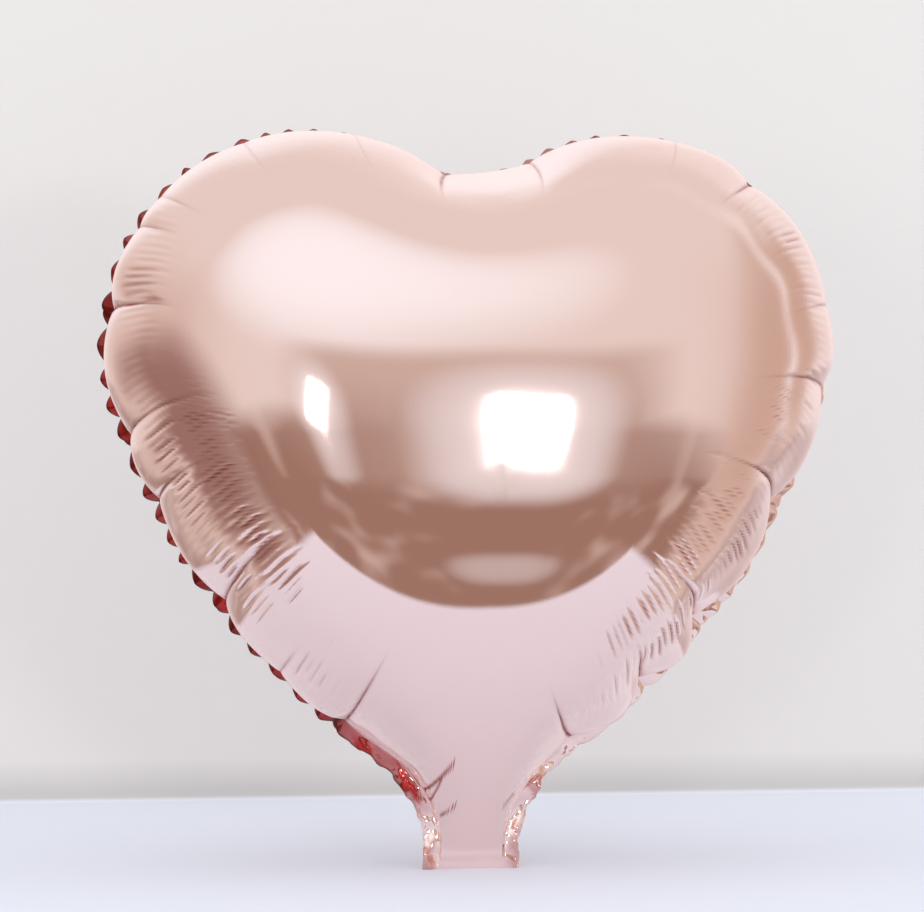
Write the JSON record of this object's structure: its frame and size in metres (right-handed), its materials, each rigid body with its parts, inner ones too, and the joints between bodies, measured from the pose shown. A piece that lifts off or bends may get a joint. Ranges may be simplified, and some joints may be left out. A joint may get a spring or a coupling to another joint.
{
  "type": "heart foil balloon",
  "caption": "Inflated heart-shaped foil balloon with a gathered heat-sealed rim, puckered shoulders and a flat tail that holds a self-sealing valve.",
  "frame": {"origin": "under the middle of the tail's mouth, on the surface that the tail's end stands on, in the plane of the seal", "axes": "+Z from the tail's mouth up to the cleft between the lobes, front panel towards -Y, +X to the right seen from the front"},
  "size_m": [0.384, 0.18, 0.38],
  "materials": {
    "foil": "mirror-bright rose metallised film",
    "valve_film": "clear gloss film",
    "release_print": "matt heat-resistant ink"
  },
  "bodies": {
    "root": {"front_panel": "foil", "back_panel": "foil", "valve_front_film": "valve_film", "valve_back_film": "valve_film", "valve_release_print": "release_print"}
  },
  "joints": []
}
